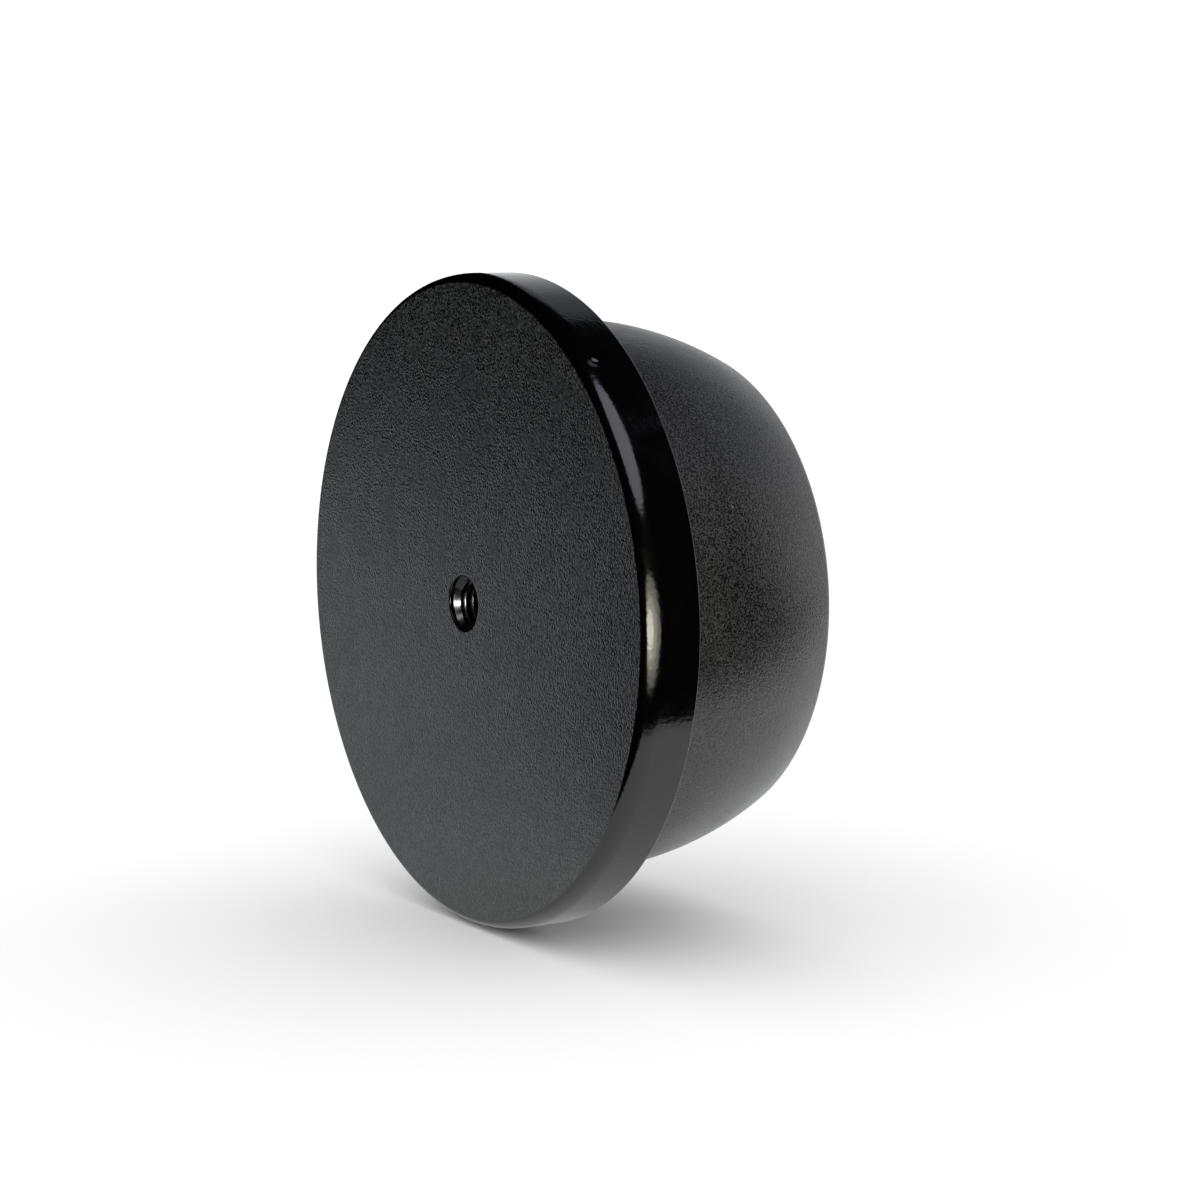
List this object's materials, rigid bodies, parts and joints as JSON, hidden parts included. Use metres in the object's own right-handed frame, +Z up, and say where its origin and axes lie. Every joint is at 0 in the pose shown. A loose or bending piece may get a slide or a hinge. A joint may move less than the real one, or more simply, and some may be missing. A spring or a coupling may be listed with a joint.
{
  "type": "pipe cap",
  "caption": "Round push-in cap that closes a pipe's end: a thick flange, a closed rubber plug that grips the bore, and a threaded insert in the middle of the face.",
  "frame": {"origin": "centre of the seat, the flange's back face, where the pipe's end stops; it is on the pipe's axis", "axes": "+Y along the pipe's axis, into the pipe, towards the plug's closed end; -Y is the way the front face looks; +Z up"},
  "size_m": [0.076, 0.0322, 0.076],
  "materials": {
    "flange": "black moulded plastic: polished rim, fine matt grain on the front face",
    "plug": "black moulded rubber, matt, with a little dust",
    "insert": "steel with a dark oxide film, tapped, bright only where a lamp catches the thread"
  },
  "bodies": {
    "root": {"flange": "flange", "rubber_plug": "plug", "threaded_insert": "insert"}
  },
  "joints": []
}
